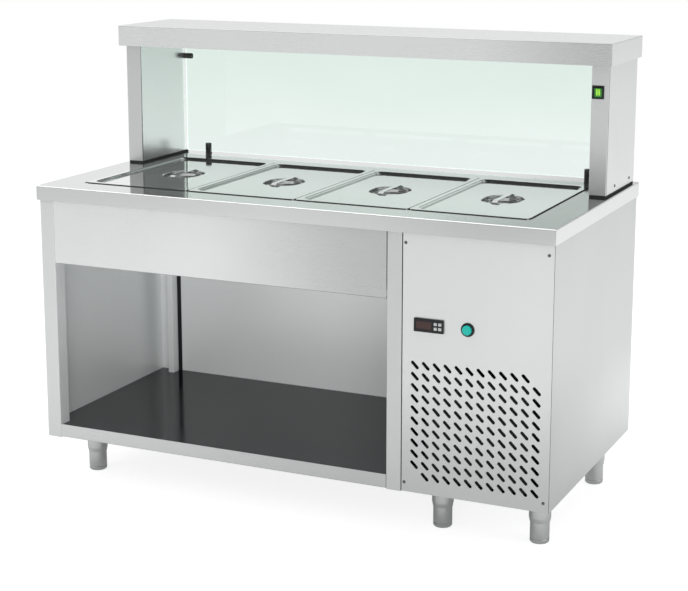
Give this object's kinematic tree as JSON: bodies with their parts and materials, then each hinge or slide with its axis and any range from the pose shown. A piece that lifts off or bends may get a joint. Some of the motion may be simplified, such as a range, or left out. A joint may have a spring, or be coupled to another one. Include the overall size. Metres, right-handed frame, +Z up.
{
  "type": "refrigerated serving counter",
  "caption": "Stainless serving counter with a cold well for lidded pans, an overhead shelf with a glass screen, a storage bay and a cooling compartment.",
  "frame": {"origin": "centre of the counter's footprint on the floor", "axes": "+X along the counter towards the cooling compartment, +Y towards the customers' side with the glass, +Z up"},
  "size_m": [1.5, 0.76, 1.27],
  "materials": {
    "brushed_steel": "fine brushed stainless sheet",
    "worktop_steel": "smooth stainless sheet, brushed along the counter",
    "pan_steel": "bright drawn stainless",
    "lid_steel": "bright pressed stainless",
    "foot_steel": "satin stainless tube",
    "screw_steel": "plain screw heads",
    "zinc_sheet": "zinc-coated sheet",
    "foam": "rigid foam",
    "copper_tube": "bare copper tube",
    "brass": "cast brass",
    "red_plastic": "moulded lever cover",
    "black_board": "glossy black board",
    "black_rubber": "soft black seal",
    "lamp_white": "opal tube",
    "white_plastic": "moulded lamp holder",
    "clear_glass": "clear toughened glass with a green tint",
    "black_chrome": "dark chrome",
    "black_plastic": "moulded black plastic",
    "green_lens": "lit green lens",
    "teal_plastic": "moulded green cap",
    "key_silver": "silver keys",
    "black_paint": "semi-gloss black paint",
    "fin_aluminium": "thin rolled fins",
    "grey_paint": "light grey paint"
  },
  "bodies": {
    "counter": {"worktop": "worktop_steel", "well_tub": "worktop_steel", "well_insulation": "foam", "well_casing": "zinc_sheet", "divider_bars": "brushed_steel", "evaporator_coil": "copper_tube", "drain_valve": "brass", "left_side_panel": "brushed_steel", "right_side_panel": "brushed_steel", "rear_panel": "brushed_steel", "bay_back_panel": "brushed_steel", "apron": "brushed_steel", "bottom_frame": "brushed_steel", "bay_floor": "black_board", "divider_wall": "brushed_steel", "bay_rear_posts": "brushed_steel", "technical_base": "zinc_sheet", "service_panel": "brushed_steel", "cover_screws": "screw_steel", "leg_sockets": "brushed_steel", "column_left": "brushed_steel", "column_right": "brushed_steel", "column_gaskets": "black_rubber", "overhead_shelf": "brushed_steel", "lamp_tube": "lamp_white", "lamp_holders": "white_plastic", "glass_screen": "clear_glass", "glass_pins": "black_chrome", "glass_clamps": "black_chrome", "switch_bezel": "black_plastic", "controller": "black_plastic", "button_ring": "black_plastic", "compressor": "black_paint", "compressor_mounts": "black_rubber", "condenser": "fin_aluminium", "fan_motor": "black_paint", "electrical_box": "grey_paint", "cable_gland": "black_plastic"},
    "drain_lever": {"drain_lever": "red_plastic"},
    "pan_1": {"pan_1": "pan_steel"},
    "pan_2": {"pan_2": "pan_steel"},
    "pan_3": {"pan_3": "pan_steel"},
    "pan_4": {"pan_4": "pan_steel"},
    "lid_1": {"lid_1": "lid_steel"},
    "lid_2": {"lid_2": "lid_steel"},
    "lid_3": {"lid_3": "lid_steel"},
    "lid_4": {"lid_4": "lid_steel"},
    "foot_1": {"foot_1": "foot_steel"},
    "foot_2": {"foot_2": "foot_steel"},
    "foot_3": {"foot_3": "foot_steel"},
    "foot_4": {"foot_4": "foot_steel"},
    "foot_5": {"foot_5": "foot_steel"},
    "foot_6": {"foot_6": "foot_steel"},
    "switch_rocker": {"switch_rocker": "green_lens"},
    "key_1": {"key_1": "key_silver"},
    "key_2": {"key_2": "key_silver"},
    "key_3": {"key_3": "key_silver"},
    "key_4": {"key_4": "key_silver"},
    "push_button": {"push_button": "teal_plastic"},
    "fan": {"fan": "fin_aluminium"}
  },
  "joints": [
    {"name": "pan_1_lift", "type": "slide", "parent": "counter", "child": "pan_1", "axis": [0, 0, 1], "range_m": [0, 0.17]},
    {"name": "lid_1_lift", "type": "slide", "parent": "pan_1", "child": "lid_1", "axis": [0, 0, 1], "range_m": [0, 0.14]},
    {"name": "pan_2_lift", "type": "slide", "parent": "counter", "child": "pan_2", "axis": [0, 0, 1], "range_m": [0, 0.17]},
    {"name": "lid_2_lift", "type": "slide", "parent": "pan_2", "child": "lid_2", "axis": [0, 0, 1], "range_m": [0, 0.14]},
    {"name": "pan_3_lift", "type": "slide", "parent": "counter", "child": "pan_3", "axis": [0, 0, 1], "range_m": [0, 0.17]},
    {"name": "lid_3_lift", "type": "slide", "parent": "pan_3", "child": "lid_3", "axis": [0, 0, 1], "range_m": [0, 0.14]},
    {"name": "pan_4_lift", "type": "slide", "parent": "counter", "child": "pan_4", "axis": [0, 0, 1], "range_m": [0, 0.17]},
    {"name": "lid_4_lift", "type": "slide", "parent": "pan_4", "child": "lid_4", "axis": [0, 0, 1], "range_m": [0, 0.14]},
    {"name": "foot_1_screw", "type": "slide", "parent": "counter", "child": "foot_1", "axis": [0, 0, -1], "range_m": [0, 0.025]},
    {"name": "foot_2_screw", "type": "slide", "parent": "counter", "child": "foot_2", "axis": [0, 0, -1], "range_m": [0, 0.025]},
    {"name": "foot_3_screw", "type": "slide", "parent": "counter", "child": "foot_3", "axis": [0, 0, -1], "range_m": [0, 0.025]},
    {"name": "foot_4_screw", "type": "slide", "parent": "counter", "child": "foot_4", "axis": [0, 0, -1], "range_m": [0, 0.025]},
    {"name": "foot_5_screw", "type": "slide", "parent": "counter", "child": "foot_5", "axis": [0, 0, -1], "range_m": [0, 0.025]},
    {"name": "foot_6_screw", "type": "slide", "parent": "counter", "child": "foot_6", "axis": [0, 0, -1], "range_m": [0, 0.025]},
    {"name": "drain_lever_turn", "type": "hinge", "parent": "counter", "child": "drain_lever", "pos_m": [0.48, 0.165, 0.6038], "axis": [0, 1, 0], "range_deg": [0, 90]},
    {"name": "switch_tilt", "type": "hinge", "parent": "counter", "child": "switch_rocker", "pos_m": [0.70825, 0.09, 1.14], "axis": [1, 0, 0], "range_deg": [-14, 0]},
    {"name": "key_1_press", "type": "slide", "parent": "counter", "child": "key_1", "axis": [0, 1, 0], "range_m": [0, 0.001], "stiffness_N_per_m": 300},
    {"name": "key_2_press", "type": "slide", "parent": "counter", "child": "key_2", "axis": [0, 1, 0], "range_m": [0, 0.001], "stiffness_N_per_m": 300},
    {"name": "key_3_press", "type": "slide", "parent": "counter", "child": "key_3", "axis": [0, 1, 0], "range_m": [0, 0.001], "stiffness_N_per_m": 300},
    {"name": "key_4_press", "type": "slide", "parent": "counter", "child": "key_4", "axis": [0, 1, 0], "range_m": [0, 0.001], "stiffness_N_per_m": 300},
    {"name": "button_press", "type": "slide", "parent": "counter", "child": "push_button", "axis": [0, 1, 0], "range_m": [0, 0.003], "stiffness_N_per_m": 400},
    {"name": "fan_spin", "type": "hinge", "parent": "counter", "child": "fan", "pos_m": [0.5455, -0.284, 0.3095], "axis": [0, 1, 0], "continuous": true}
  ]
}
